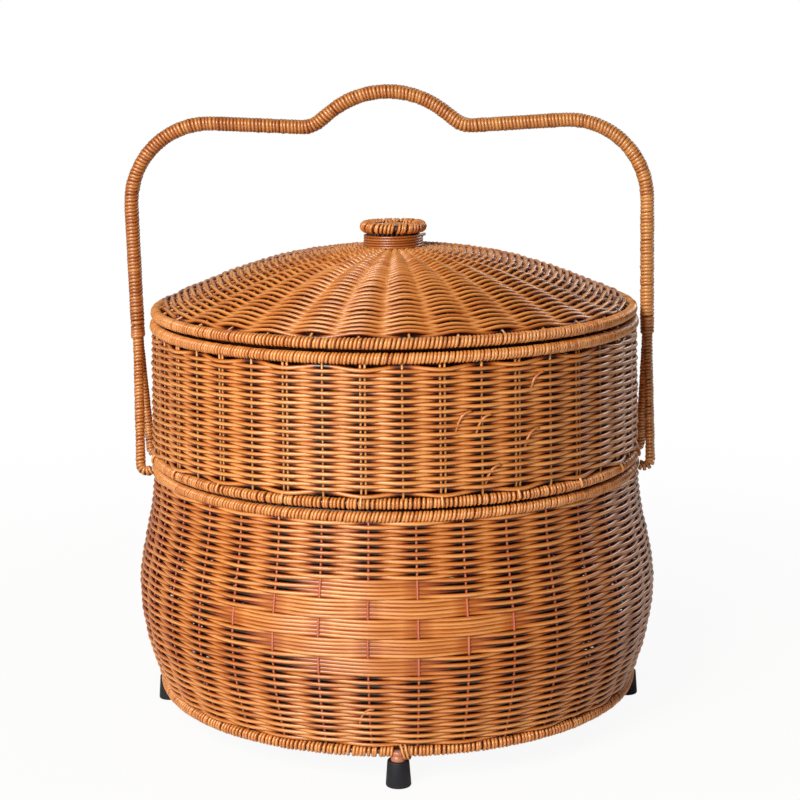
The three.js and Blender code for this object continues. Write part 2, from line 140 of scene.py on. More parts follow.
def add_lamp(name, place, size, watts, colour):
    """A square soft lamp, turned to the middle of the basket."""
    light = bpy.data.lights.new(name, "AREA")
    light.size = size
    light.energy = watts
    light.color = linear(colour)[:3]
    lamp = bpy.data.objects.new(name, light)
    bpy.context.scene.collection.objects.link(lamp)
    aim = Vector(LIT_POINT) - Vector(place)
    lamp.matrix_world = Matrix.Translation(place) @ aim.to_track_quat("-Z", "Y").to_matrix().to_4x4()


add_lamp("key_lamp", KEY_PLACE, KEY_SIZE, KEY_WATTS, "#FFF6E8")
add_lamp("edge_lamp", EDGE_PLACE, EDGE_SIZE, EDGE_WATTS, "#FFF8F0")
bpy.context.scene.view_settings.view_transform = "Standard"


# Lower floor: a round mat of peeled cane, weavers packed round stakes that run out from the middle,
# stained and lacquered with the rest. It sits inside the base ring.
MM = 0.001

# Each strand has its own part of the grain, this many mm apart from the darkest strand to the palest.
PATTERN_STEP = 2000

# Painted light: 1 on a strand's top, a painted highlight, down to CREASE_LIGHT at its sides, painted shade,
# and up again on its back by BACK_LIGHT of the way. A strand that dips behind the weave loses it over the
# last
# SUNK_REACH of its way, down to SUNK_LIGHT: painted shade.
CREASE_LIGHT, BACK_LIGHT = 0.35, 0.5
SUNK_REACH, SUNK_LIGHT = 0.6, 0.05

# Weavers are pressed wider behind a stake by FLATTENED of their width, and vary a little in swing and width.
FLATTENED = 0.4
SWING_SPREAD, WIDTH_SPREAD = 0.1, 0.02
STAKE_TONES, STAKE_LIFT = (0.3, 0.7), 0.3
rng = np.random.default_rng(20)


def new_bundle():
    """Strands of one piece, gathered before they become a mesh."""
    return {"points": [], "faces": [], "fibre": [], "tone": [], "painted_light": [], "count": 0}


def round_faces(rings, sides, closed=False):
    """The faces of a round form of so many rings of points, which ends in flat faces unless it is closed."""
    rows = np.arange(rings if closed else rings - 1)[:, None] * sides
    after = (rows + sides) % (rings * sides)
    here = np.arange(sides)[None, :]
    beside = (here + 1) % sides
    faces = np.stack([rows + here, rows + beside, after + beside, after + here], axis=-1).reshape(-1, 4)
    if not closed:
        fan = np.array([[0, 2 * k - 1, 2 * k, 2 * k + 1] for k in range(1, sides // 2)])
        faces = np.concatenate([faces, fan[:, ::-1], fan + (rings - 1) * sides])
    return faces


def lay_strand(bundle, path, diameter, out, sides=6, closed=False, tone=0.5, lift=0.0, flat=1.0):
    """Adds a strand along path, in mm, round or as thick as flat times its width. out points to the side that
    faces the viewer, and lift, from -1 to 1, is how far it stands in front of the middle of the weave.
    With each point go its place in the grain, its stain and its painted light: painted shade, 0 in a crease
    and where lift is low, up to a painted highlight, 1 on its top."""
    path = np.asarray(path, float)
    count = len(path)
    ahead = np.roll(path, -1, 0) - np.roll(path, 1, 0) if closed else np.gradient(path, axis=0)
    ahead /= np.linalg.norm(ahead, axis=1, keepdims=True)
    out = np.broadcast_to(np.asarray(out, float), (count, 3))
    out = out - np.sum(out * ahead, axis=1, keepdims=True) * ahead
    out /= np.linalg.norm(out, axis=1, keepdims=True)
    across = np.cross(ahead, out)
    turn = 2 * np.pi * np.arange(sides) / sides
    outward, aside = np.cos(turn), np.sin(turn)
    radius = np.broadcast_to(np.asarray(diameter, float) / 2, (count,))
    spokes = flat * outward[None, :, None] * out[:, None, :] + aside[None, :, None] * across[:, None, :]
    points = path[:, None, :] + radius[:, None, None] * spokes
    along = np.concatenate([[0], np.cumsum(np.linalg.norm(np.diff(path, axis=0), axis=1))])
    tone = np.broadcast_to(np.asarray(tone, float), (count,))
    fibre = np.empty((count, sides, 3))
    fibre[:, :, 0] = along[:, None] + PATTERN_STEP * tone.mean()
    fibre[:, :, 1] = radius[:, None] * outward
    fibre[:, :, 2] = radius[:, None] * aside
    # The strand's painted light: painted shade on its sides and where it dips behind the weave, a painted
    # highlight on its top.
    facing_light = CREASE_LIGHT + (1 - CREASE_LIGHT) * np.where(outward > 0, outward, -BACK_LIGHT * outward)[None, :]
    stand = np.broadcast_to(lift, (count,))[:, None] * np.sign(outward)
    painted_light = np.broadcast_to(facing_light * np.clip((1 + stand) / SUNK_REACH, SUNK_LIGHT, 1), (count, sides))
    bundle["points"].append(points.reshape(-1, 3) * MM)
    bundle["faces"].append(round_faces(count, sides, closed) + bundle["count"])
    bundle["fibre"].append(fibre.reshape(-1, 3) * MM)
    bundle["tone"].append(np.repeat(tone, sides))
    bundle["painted_light"].append(painted_light.reshape(-1))
    bundle["count"] += count * sides


def make_piece(name, bundle, finish, body, slot, *nodes):
    """Turns the gathered strands into one smooth-shaded mesh, and says what it belongs to."""
    mesh = bpy.data.meshes.new(name)
    mesh.from_pydata(np.concatenate(bundle["points"]).tolist(), [], np.concatenate(bundle["faces"]).tolist())
    mesh.polygons.foreach_set("use_smooth", np.ones(len(mesh.polygons), bool))
    for key, kind, field in (("fibre", "FLOAT_VECTOR", "vector"), ("tone", "FLOAT", "value"),
                             ("painted_light", "FLOAT", "value")):
        values = np.concatenate(bundle[key]).astype(np.float32).reshape(-1)
        mesh.attributes.new(key, kind, "POINT").data.foreach_set(field, values)
    mesh.materials.append(finish)
    piece = bpy.data.objects.new(name, mesh)
    bpy.context.scene.collection.objects.link(piece)
    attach(piece, body)
    if nodes:
        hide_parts(*nodes)


def even_rows(rows):
    """The middles of so many equal steps from 0 to 1."""
    return (np.arange(rows) + 0.5) / rows


def round_axis(radius, height, turn):
    """Points at a radius, a height and a turn about Z, for a path."""
    return np.stack([radius * np.cos(turn), radius * np.sin(turn), height + 0 * turn], axis=1)


def weave(bundle, surface, levels, angles, signs, strand_d, swing, steps=6, sides=6, shift=None, flutes=None,
          untidy=0.1, tones=(0.25, 0.75)):
    """Lays a closed row of weaver at each level of a surface of revolution. surface(v, offset) gives radius
    and height, angles the stakes' places, and signs[row, stake] is 1 where the weaver passes in front.
    shift moves a row along the wall, and flutes says how far each row swells out over every stake. A weaver
    is pressed wider behind a stake. Each row's stain, with any painted shade that the tones carry, is as
    light as a value between the two tones."""
    stakes = len(angles)
    place = np.arange(stakes * steps) / steps
    stake = place.astype(int)
    blend = (1 - np.cos(np.pi * (place - stake))) / 2
    turned = np.append(angles, angles[0] + 2 * np.pi)
    theta = np.interp(place, np.arange(stakes + 1), turned)
    step = 0.01
    ends = [np.array(surface(np.array([v]), 0.0)).reshape(2) for v in (0.0, step)]
    per_mm = step / np.linalg.norm(ends[1] - ends[0])

    def between(values):
        return values[stake] * (1 - blend) + values[(stake + 1) % stakes] * blend

    for i, v in enumerate(levels):
        bow = between(swing * signs[i] * (1 + SWING_SPREAD * rng.standard_normal(stakes)))
        if flutes is not None:
            bow = bow + flutes[i] * np.cos(2 * np.pi * place)
        drift = between(untidy * rng.standard_normal(stakes))
        if shift is not None:
            drift = drift + shift(i, place)
        v = v + drift * per_mm
        path = round_axis(*surface(v, bow), theta)
        tip = round_axis(*surface(v, bow + 1), theta)
        lift = between(signs[i].astype(float))
        width = np.broadcast_to(strand_d, (len(levels),))[i] * (1 + WIDTH_SPREAD * rng.standard_normal())
        width = width * (1 + FLATTENED * np.clip(-lift, 0, 1))
        lay_strand(bundle, path, width, tip - path, sides, closed=True, tone=rng.uniform(*tones), lift=lift)


def plain_signs(rows, stakes):
    """Plain weave: each row passes in front of every second stake, the next row in front of the others."""
    return np.where(np.add.outer(np.arange(rows), np.arange(stakes)) % 2 == 0, 1, -1)


def stake_angles(count, first_deg, sway_deg):
    """The stakes' angles, from first_deg to the right of the front, each a little off its place."""
    sway = np.radians(sway_deg) * rng.standard_normal(count)
    return np.radians(first_deg - 90) + 2 * np.pi * np.arange(count) / count + sway


def lay_stakes(bundle, surface, angles, diameter, steps, reach=(0.0, 1.0), aside=0.0, proud=0.0):
    """Lays a stake up the middle of the weave at each angle, moved aside along the wall by so many mm and
    out of it by proud."""
    v = np.linspace(reach[0], reach[1], steps)
    for angle in angles:
        radius, height = surface(v, proud)
        turn = angle + aside / radius
        path = round_axis(radius, height, turn)
        tip = round_axis(*surface(v, proud + 1), turn)
        lay_strand(bundle, path, diameter, tip - path, tone=rng.uniform(*STAKE_TONES), lift=STAKE_LIFT)


def cane_finish(name, deep, crease, body, painted_light, roughness):
    """Peeled rattan core, stained and lacquered: fibres run along the strand, the colour is darker in the
    creases, painted shade, and paler on the tops, a painted highlight, and the lacquer gives a soft bright
    line along each strand.
    Real fibres are about 0.1 mm wide: they are drawn wider, so that they show."""
    FIBRE_LONG, FIBRE_WIDE, FIBRE_DEPTH = 16 * MM, 0.35 * MM, 0.05 * MM
    PATCH_LONG, PATCH_WIDE = 60 * MM, 5 * MM
    STAIN_AND_LIGHT_START = -0.05
    PAINTED_LIGHT_SHARE, FIBRE_SHARE, STRAND_SHARE, PATCH_SHARE = 0.68, 0.24, 0.2, 0.24
    DEEP_AT, CREASE_AT, BODY_AT, CROWN_AT = 0.34, 0.5, 0.76, 1.0
    SMOOTHER, ROUGHER = 0.08, 0.12
    COAT_ROUGHNESS, COAT_IOR = 0.35, 1.75
    finish = bpy.data.materials.new(name)
    finish.use_nodes = True
    tree = finish.node_tree
    tree.nodes.clear()
    fibre = add_node(tree, "ShaderNodeAttribute", attribute_name="fibre")
    tone = add_node(tree, "ShaderNodeAttribute", attribute_name="tone")
    high = add_node(tree, "ShaderNodeAttribute", attribute_name="painted_light")
    fine_map = add_node(tree, "ShaderNodeMapping", {"Vector": fibre.outputs["Vector"],
                        "Scale": (1 / FIBRE_LONG, 1 / FIBRE_WIDE, 1 / FIBRE_WIDE)})
    fine = add_node(tree, "ShaderNodeTexNoise", {"Vector": fine_map.outputs[0], "Scale": 1, "Detail": 3,
                    "Roughness": 0.6})
    patch_map = add_node(tree, "ShaderNodeMapping", {"Vector": fibre.outputs["Vector"],
                         "Scale": (1 / PATCH_LONG, 1 / PATCH_WIDE, 1 / PATCH_WIDE)})
    patch = add_node(tree, "ShaderNodeTexNoise", {"Vector": patch_map.outputs[0], "Scale": 1, "Detail": 1})
    # The strands' painted light is mixed with their grain, tone and stain patches, and picks the colour
    # below.
    stain_and_painted_light = STAIN_AND_LIGHT_START
    for cause, share in ((high.outputs["Fac"], PAINTED_LIGHT_SHARE), (fine.outputs[0], FIBRE_SHARE),
                         (tone.outputs["Fac"], STRAND_SHARE), (patch.outputs[0], PATCH_SHARE)):
        added = add_node(tree, "ShaderNodeMath", {0: cause, 1: share, 2: stain_and_painted_light}, operation="MULTIPLY_ADD")
        stain_and_painted_light = added.outputs[0]
    # The ramp runs from painted shade, deep and crease, through body to the painted highlight on the tops.
    ramp = add_node(tree, "ShaderNodeValToRGB", {"Fac": stain_and_painted_light})
    ramp.color_ramp.elements[0].position = DEEP_AT
    ramp.color_ramp.elements[0].color = linear(deep)
    ramp.color_ramp.elements[1].position = CROWN_AT
    ramp.color_ramp.elements[1].color = linear(painted_light)
    ramp.color_ramp.elements.new(CREASE_AT).color = linear(crease)
    ramp.color_ramp.elements.new(BODY_AT).color = linear(body)
    rough = add_node(tree, "ShaderNodeMapRange", {"Value": fine.outputs[0], "To Min": roughness - SMOOTHER,
                     "To Max": roughness + ROUGHER})
    bump = add_node(tree, "ShaderNodeBump", {"Height": fine.outputs[0], "Strength": 0.5,
                    "Distance": FIBRE_DEPTH})
    shader = add_node(tree, "ShaderNodeBsdfPrincipled", {"Base Color": ramp.outputs[0],
                      "Roughness": rough.outputs[0], "IOR": 1.5, "Specular IOR Level": 0.2,
                      "Coat Weight": 1.0, "Coat Roughness": COAT_ROUGHNESS, "Coat IOR": COAT_IOR,
                      "Normal": bump.outputs[0]})
    add_node(tree, "ShaderNodeOutputMaterial", {"Surface": shader.outputs[0]})
    return finish


FLOOR_ROWS = 44
FLOOR_STAKES = 36
FLOOR_SWAY = 0.2
FLOOR_STAKE_D = 2.4
FLOOR_STRAND_D = 2.7
FLOOR_SWING = 1.5
FLOOR_HUB = 14
ROSETTE_TURNS = 5
ROSETTE_EYE = 1.6
ROSETTE_BELOW = 1.5

# The floors' cane sees little light and wear: its stain is browner and duller than the walls'.
floor_cane = cane_finish("stained_cane_floor", "#2A1206", "#6E3514", "#B8702F", "#DDA05A", 0.46)


def woven_floor(name, node, body):
    """A woven mat in place of a floor's solid, with a coiled rosette under its middle."""
    low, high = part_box(node)
    rim = high.x / MM
    height = (low.z + high.z) / 2 / MM

    def surface(v, offset):
        return rim + (FLOOR_HUB - rim) * v, height - offset + 0 * v

    rays = stake_angles(FLOOR_STAKES, 0, FLOOR_SWAY)
    bundle = new_bundle()
    weave(bundle, surface, even_rows(FLOOR_ROWS), rays, plain_signs(FLOOR_ROWS, FLOOR_STAKES), FLOOR_STRAND_D,
          FLOOR_SWING, steps=4, sides=4)
    lay_stakes(bundle, surface, rays, FLOOR_STAKE_D, 6, (0.0, 0.99))
    turn = np.linspace(0, 2 * np.pi * ROSETTE_TURNS, ROSETTE_TURNS * 24)
    reach = ROSETTE_EYE + (FLOOR_HUB - ROSETTE_EYE) * turn / turn[-1]
    lay_strand(bundle, round_axis(reach, height - ROSETTE_BELOW, turn), FLOOR_STRAND_D, (0, 0, -1), tone=0.6)
    make_piece(name, bundle, floor_cane, body, "floor", node)


woven_floor("lower_floor_mat", "lower_floor", "lower_basket")


# Base ring: a bent cane rod that the wall's stakes are turned round, closely wound with one long strand.
# The winding leaves small irregular gaps, through which the darker rod shows.
RING_STRAND_D = 2.7
RING_UNTIDY = 0.09

# A foot's post parts the turns by POST_PARTING where it comes through, less and less over POST_PARTING_RUN.
POST_PARTING, POST_PARTING_RUN = 7.5, 14

# Behind the rod a strand crosses to its next turn, from so far into the turn and over such a share of it.
CROSSING_FROM, CROSSING_SHARE = 0.3, 0.4

# The turns differ a little in how far they stand out and in stain. Round two rods side by side, a strand
# goes from one to the other the more sharply the higher PAIR_CROSSING is.
SWELL_SPREAD, SHADE_SPREAD = 0.12, 0.2
PAIR_CROSSING = 4

# A rod is thicker than the room in its winding by ROD_BITE, as the strands press into it.
ROD_SIDES, ROD_TONE = 8, 0.4
ROD_BITE = 0.9

# The winding is painted pale on the top of each turn, a painted highlight, and darker at its sides, painted
# shade, and the bare rods stay dark brown, so that the gaps between the turns read as dark lines.
wound_cane = cane_finish("stained_cane_winding", "#120301", "#782A06", "#C06814", "#F2AE66", 0.46)
rod_cane = cane_finish("stained_cane_rod", "#140602", "#2E1206", "#4A220E", "#6A3818", 0.5)


def ring_rail(radius, height):
    """A level circle for a winding to follow: place, outward and upward, so many mm round from the back."""
    def rail(along):
        turn = along / radius + np.pi / 2
        out = np.stack([np.cos(turn), np.sin(turn), 0 * turn], axis=1)
        return radius * out + np.array([0, 0, height]), out, np.broadcast_to([0.0, 0, 1], out.shape)
    return rail


def wind(bundle, rail, length, coil_d, strand_d, pitch, lean, closed=False, steps=10, untidy=0.14,
         pair_gap=0.0, parting=0.0, flat=1.0, tones=(0.5, 0.5)):
    """Winds one strand round a rod, toned from tones[0] at its beginning to tones[1] at its end. lean, in mm,
    is how much further the strand runs on across the front than behind, where it crosses to its next turn.
    pair_gap parts the coil's two halves where it goes round two rods side by side, and parting, in mm, keeps
    the turns apart at each quarter of the way, where a foot's post comes through. flat is the strand's
    thickness over its width."""
    turns = round(length / pitch)
    u = np.arange(turns * steps + (0 if closed else 1)) / steps
    marks = np.arange(turns + 1)
    wander = untidy * rng.standard_normal(turns + 1)
    past = (marks * length / turns + length / 8) % (length / 4) - length / 8
    nearness = np.exp(-np.abs(past) / POST_PARTING_RUN)
    wander += parting / 2 * np.where(past > 0, 1, -1) * nearness * turns / length
    swell = SWELL_SPREAD * rng.standard_normal(turns + 1)
    shade = np.clip(np.linspace(*tones, turns + 1) + SHADE_SPREAD * rng.standard_normal(turns + 1), 0, 1)
    if closed:
        wander[-1], swell[-1], shade[-1] = wander[0], swell[0], shade[0]
    angle = 2 * np.pi * u
    behind = np.floor(u) + np.clip((u % 1 - CROSSING_FROM) / CROSSING_SHARE, 0, 1)
    along = (u + np.interp(behind, marks, wander)) * length / turns + lean * np.sin(angle)
    if not closed:
        along = np.clip(along, 0, length)
    centre, out, up = rail(along)
    facing = np.cos(angle)[:, None] * out + np.sin(angle)[:, None] * up
    reach = coil_d / 2 - flat * strand_d / 2 + np.interp(u, marks, swell)
    parted = pair_gap * np.tanh(PAIR_CROSSING * np.sin(angle))[:, None] * up
    lay_strand(bundle, centre + reach[:, None] * facing + parted, strand_d, facing, closed=closed,
               tone=np.interp(u, marks, shade), flat=flat)


def make_ring_rod(name, radius, height, diameter, body, *nodes):
    """A cane rod bent to a level ring."""
    turn = 2 * np.pi * np.arange(120) / 120
    outward = round_axis(1, 0, turn)
    rod = new_bundle()
    lay_strand(rod, radius * outward + np.array([0, 0, height]), diameter, outward, ROD_SIDES, closed=True,
               tone=ROD_TONE)
    make_piece(name, rod, rod_cane, body, "cane", *nodes)


def ring_measures(node):
    """The radius, height and thickness, in mm, of a ring that a node stands for."""
    low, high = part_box(node)
    thickness = (high.z - low.z) / MM
    return high.x / MM - thickness / 2, (high.z + low.z) / 2 / MM, thickness


def wound_ring(node, body, pitch, lean, untidy=RING_UNTIDY, ease=0.0, parting=0.0):
    """The winding of a ring in place of its solid, and the rod inside it. ease, in mm, is how far the strands
    keep up, or down, from the ring that this one rests on, or carries. Gives the solid's measures."""
    radius, height, coil_d = ring_measures(node)
    eased = height + ease / 2
    winding = new_bundle()
    wind(winding, ring_rail(radius, eased), 2 * np.pi * radius, coil_d - abs(ease), RING_STRAND_D, pitch,
         lean, closed=True, untidy=untidy, parting=parting)
    make_piece(node + "_winding", winding, wound_cane, body, "wrapping", node)
    make_ring_rod(node + "_rod", radius, eased, coil_d - 2 * RING_STRAND_D + ROD_BITE, body)
    return radius, height, coil_d


base_r, base_z, base_d = wound_ring("base_ring", "lower_basket", pitch=3.0, lean=-0.2, untidy=0.12,
                                    parting=POST_PARTING)


# Lower rim: a cane rod wound like the base ring, but more closely. The tray's foot stands on it, so
# its strands keep a little down from the ring above.
RING_EASE = 0.5
rim_r, rim_z, rim_d = wound_ring("lower_rim", "lower_basket", pitch=2.65, lean=0.5, ease=-RING_EASE)


# Lower wall: 36 thin red-brown stakes with weavers of round cane in plain weave, bulging in the lower half.
# At the front, bands of five weavers together pass over every second stake and make a block pattern.
BELLY_R = 199.0
BELLY_HEIGHT = 78
LOWER_STAKES = 36
LOWER_SWAY = 0.12
LOWER_STAKE_D = 2.0
STAKE_PROUD = 0.5
STAKE_REACH = (-0.02, 1.02)
LOWEST_STRAND_D, LOWER_STRAND_D, UPPER_STRAND_D = 3.0, 3.2, 3.3
LOWER_SWING = 1.9
# The lower wall's weavers take darker tones than the tray's: painted shade, for the shadow that its flatter
# strands don't cast.
LOWER_SHADED_TONES = (0.05, 0.55)
ROWS_BELOW_PANEL = 20
ROWS_ABOVE_PANEL = 15
LOWEST_PACKED = 0.12
TOP_ROW_TUCK = 0.9
PANEL_TURN = -5.7
PANEL_BOTTOM = 64.7
PANEL_BANDS = 5
PANEL_BAND_ROWS = 5
PANEL_BAND_HEIGHT = 13.43
PANEL_FLATNESS = 0.58
WEAVER_END_D, WEAVER_END_TONE = 2.2, 0.1
WEAVER_END_PROUD, WEAVER_END_RUN, WEAVER_END_DROP = 2.1, 11, 15
LOWER_WEAVER_ENDS = ((-8.0, 61), (128, 70), (-112, 96), (172, 150), (-141, 142))

lower_bottom = base_z + base_d / 2
lower_top = rim_z - rim_d / 2
belly_z = base_z - base_d / 2 + BELLY_HEIGHT

# The weavers' orange-brown stain is painted to honey on each bow, a painted highlight, and dark in the
# creases, painted shade that draws every course. The stakes took a redder stain and show as fine red lines.
wicker_cane = cane_finish("stained_cane_weavers", "#120301", "#7A2A06", "#BC6410", "#F2AC62", 0.48)
red_cane = cane_finish("red_stained_cane_stakes", "#2A0804", "#7C2410", "#B0482C", "#D87C5C", 0.46)


def lower_surface(v, offset):
    """The wall's middle: a quarter wave out from the base ring to the belly, a half wave in to the rim."""
    z = lower_bottom + (lower_top - lower_bottom) * v
    below = base_r + (BELLY_R - base_r) * np.sin(np.pi / 2 * (z - lower_bottom) / (belly_z - lower_bottom))
    above = rim_r + (BELLY_R - rim_r) * (1 + np.cos(np.pi * (z - belly_z) / (lower_top - belly_z))) / 2
    return np.where(z < belly_z, below, above) + offset, z


def lower_levels():
    """The rows' levels: packed tighter towards the base ring, even in the panel and above it."""
    foot = base_z - base_d / 2 + PANEL_BOTTOM
    head = foot + PANEL_BANDS * PANEL_BAND_HEIGHT
    climb = even_rows(ROWS_BELOW_PANEL)
    below = lower_bottom + (foot - lower_bottom) * climb * (1 + LOWEST_PACKED * (climb - 1))
    panel = foot + (head - foot) * even_rows(PANEL_BANDS * PANEL_BAND_ROWS)
    above = head + (lower_top + TOP_ROW_TUCK - head) * even_rows(ROWS_ABOVE_PANEL)
    return (np.concatenate([below, panel, above]) - lower_bottom) / (lower_top - lower_bottom)


def block_signs(rows):
    """Plain weave with the block panel: its bands narrow by one stake a side away from the middle band."""
    signs = plain_signs(rows, LOWER_STAKES).astype(float)
    middle = (PANEL_BANDS - 1) // 2
    for band in range(PANEL_BANDS):
        half = middle + 1 - abs(band - middle)
        first = ROWS_BELOW_PANEL + band * PANEL_BAND_ROWS
        for k in range(-half, half + 1):
            in_front = -1 if (k + half) % 2 == 0 else 1
            signs[first:first + PANEL_BAND_ROWS, k % LOWER_STAKES] = in_front * PANEL_FLATNESS
    return signs


def weaver_end(bundle, surface, bottom, top, from_front_deg, height):
    """The end of a weaver, which runs on in front, bends down beside a stake and is tucked in there."""
    t = np.linspace(0, 1, 10)
    v = (height - WEAVER_END_DROP * t ** 2 - bottom) / (top - bottom)
    radius, level = surface(v, WEAVER_END_PROUD * (1 - t ** 3))
    turn = math.radians(from_front_deg - 90) + WEAVER_END_RUN * (1 - t) ** 1.6 / radius
    lay_strand(bundle, round_axis(radius, level, turn), WEAVER_END_D, round_axis(1, 0, turn),
               tone=WEAVER_END_TONE)


lower_angles = stake_angles(LOWER_STAKES, PANEL_TURN, LOWER_SWAY)
lower_rows = lower_levels()
lower_strand_ds = np.interp(np.arange(len(lower_rows)), (0, ROWS_BELOW_PANEL, len(lower_rows)),
                            (LOWEST_STRAND_D, LOWER_STRAND_D, UPPER_STRAND_D))
lower_weavers = new_bundle()
weave(lower_weavers, lower_surface, lower_rows, lower_angles, block_signs(len(lower_rows)), lower_strand_ds,
      LOWER_SWING, tones=LOWER_SHADED_TONES)
for from_front, height in LOWER_WEAVER_ENDS:
    weaver_end(lower_weavers, lower_surface, lower_bottom, lower_top, from_front, height)
make_piece("lower_weavers", lower_weavers, wicker_cane, "lower_basket", "wicker", "lower_wall")
lower_stakes = new_bundle()
lay_stakes(lower_stakes, lower_surface, lower_angles, LOWER_STAKE_D, 26, STAKE_REACH, proud=STAKE_PROUD)
make_piece("lower_stakes", lower_stakes, red_cane, "lower_basket", "wicker")


# Feet: four short cane posts under the base ring, each lashed to it and pushed into a flared cup of
# matt black moulded rubber.
SIDE_NAMES = ("front", "right", "back", "left")
CUP_SIDES = 40
CUP_LIP = 0.86
CUP_EDGE_R, CUP_EDGE_MIDDLE = 0.9, 0.25
SOCKET_MOUTH, SOCKET_PLAY, SOCKET_DEPTH = 0.3, 0.25, 3
POST_SIDES = 28
POST_FOOT, POST_SHOULDER, POST_FOOT_EDGE = 4, 3.6, 0.3
POST_HEAD, POST_HEAD_EDGE = 0.6, 0.8
NOTCH_HEIGHT, NOTCH_HALF, NOTCH_DEPTH = 1.5, 0.5, 0.7
LASHING_D, LASHING_TONE = 2.1, 0.7
LASHING_ARC, LASHING_STANDOFF = (-2.3, 1.4), 1.0
LASHING_TURNS = ((-1.6, 3.5), (-1.1, 6.2))
# Turned pieces carry one even level of painted light, so they get no painted shade or highlight.
TURNED_PAINTED_LIGHT = 0.6


def turned_bundle(profile, sides):
    """A solid of revolution about Z, from [radius, height] points in mm, first and last on the axis."""
    turn = 2 * np.pi * np.arange(sides) / sides
    body = np.array(profile[1:-1], float)
    points = np.stack([np.outer(body[:, 0], np.cos(turn)), np.outer(body[:, 0], np.sin(turn)),
                       np.outer(body[:, 1], np.ones(sides))], axis=-1).reshape(-1, 3)
    return {"points": [points * MM], "faces": [round_faces(len(body), sides)], "fibre": [points * MM],
            "tone": [np.full(len(points), 0.5)], "painted_light": [np.full(len(points), TURNED_PAINTED_LIGHT)]}


def place_bundle(bundle, turn, shift):
    """Turns a bundle about Z and moves it by so many mm."""
    cos, sin = math.cos(turn), math.sin(turn)
    spin = np.array([[cos, sin, 0], [-sin, cos, 0], [0, 0, 1]])
    bundle["points"] = [points @ spin + np.array(shift) * MM for points in bundle["points"]]
    return bundle


def rubber_finish():
    """Moulded rubber with a fine spark-eroded grain, dull, and greyer with dust towards the ground."""
    GRAIN, GRAIN_DEPTH = 0.5 * MM, 0.08 * MM
    DUST_TOP, DUST_MOST = 5 * MM, 0.5
    SMOOTHEST, ROUGHEST = 0.5, 0.72
    finish = bpy.data.materials.new("moulded_rubber")
    finish.use_nodes = True
    tree = finish.node_tree
    tree.nodes.clear()
    spot = add_node(tree, "ShaderNodeTexCoord")
    grain = add_node(tree, "ShaderNodeTexNoise", {"Vector": spot.outputs["Object"], "Scale": 1 / GRAIN,
                     "Detail": 2})
    apart = add_node(tree, "ShaderNodeSeparateXYZ", {0: spot.outputs["Object"]})
    dust = add_node(tree, "ShaderNodeMapRange", {"Value": apart.outputs["Z"], "From Min": 0,
                    "From Max": DUST_TOP, "To Min": DUST_MOST, "To Max": 0.0})
    patchy = add_node(tree, "ShaderNodeMath", {0: dust.outputs[0], 1: grain.outputs[0]}, operation="MULTIPLY")
    colour = add_node(tree, "ShaderNodeMix", {"Factor": patchy.outputs[0], "A": linear("#0D1422"),
                      "B": linear("#30343C")}, data_type="RGBA")
    rough = add_node(tree, "ShaderNodeMapRange", {"Value": grain.outputs[0], "To Min": SMOOTHEST,
                     "To Max": ROUGHEST})
    bump = add_node(tree, "ShaderNodeBump", {"Height": grain.outputs[0], "Strength": 0.4,
                    "Distance": GRAIN_DEPTH})
    shader = add_node(tree, "ShaderNodeBsdfPrincipled", {"Base Color": colour.outputs["Result"],
                      "Roughness": rough.outputs[0], "IOR": 1.52, "Normal": bump.outputs[0]})
    add_node(tree, "ShaderNodeOutputMaterial", {"Surface": shader.outputs[0]})
    return finish


def cup_bundle(foot_r, top, post_r):
    """A cup that flares down to the ground, with rounded edges and a socket for the post."""
    lip = foot_r * CUP_LIP
    return turned_bundle([
        (0, 0), (foot_r - CUP_EDGE_R, 0), (foot_r - CUP_EDGE_MIDDLE, CUP_EDGE_MIDDLE), (foot_r, CUP_EDGE_R),
        (lip, top - CUP_EDGE_R), (lip - CUP_EDGE_MIDDLE, top - CUP_EDGE_MIDDLE), (lip - CUP_EDGE_R, top),
        (post_r + SOCKET_MOUTH, top), (post_r + SOCKET_PLAY, top - SOCKET_DEPTH), (0, top - SOCKET_DEPTH),
    ], CUP_SIDES)


def post_bundle(cup_top, post_r):
    """A post from inside its cup to inside the base ring, with a notch under the ring."""
    head = base_z + POST_HEAD
    notch = base_z - base_d / 2 + NOTCH_HEIGHT
    return turned_bundle([
        (0, cup_top - POST_FOOT), (post_r - POST_FOOT_EDGE, cup_top - POST_FOOT),
        (post_r, cup_top - POST_SHOULDER), (post_r, notch - NOTCH_HALF), (post_r - NOTCH_DEPTH, notch),
        (post_r, notch + NOTCH_HALF), (post_r, head - POST_HEAD_EDGE), (post_r - POST_HEAD_EDGE, head),
        (0, head),
    ], POST_SIDES)


def lashing_bundle():
    """Slanting turns of cane over the front of the base ring, beside the front post."""
    bundle = new_bundle()
    for slant, aside in LASHING_TURNS:
        arc = np.linspace(*LASHING_ARC, 18)
        reach = base_d / 2 + LASHING_STANDOFF
        path = np.stack([aside + slant * arc, -(base_r + reach * np.cos(arc)), base_z + reach * np.sin(arc)],
                        axis=1)
        outward = np.stack([0 * arc, -np.cos(arc), np.sin(arc)], axis=1)
        lay_strand(bundle, path, LASHING_D, outward, tone=LASHING_TONE)
    return bundle


rubber = rubber_finish()

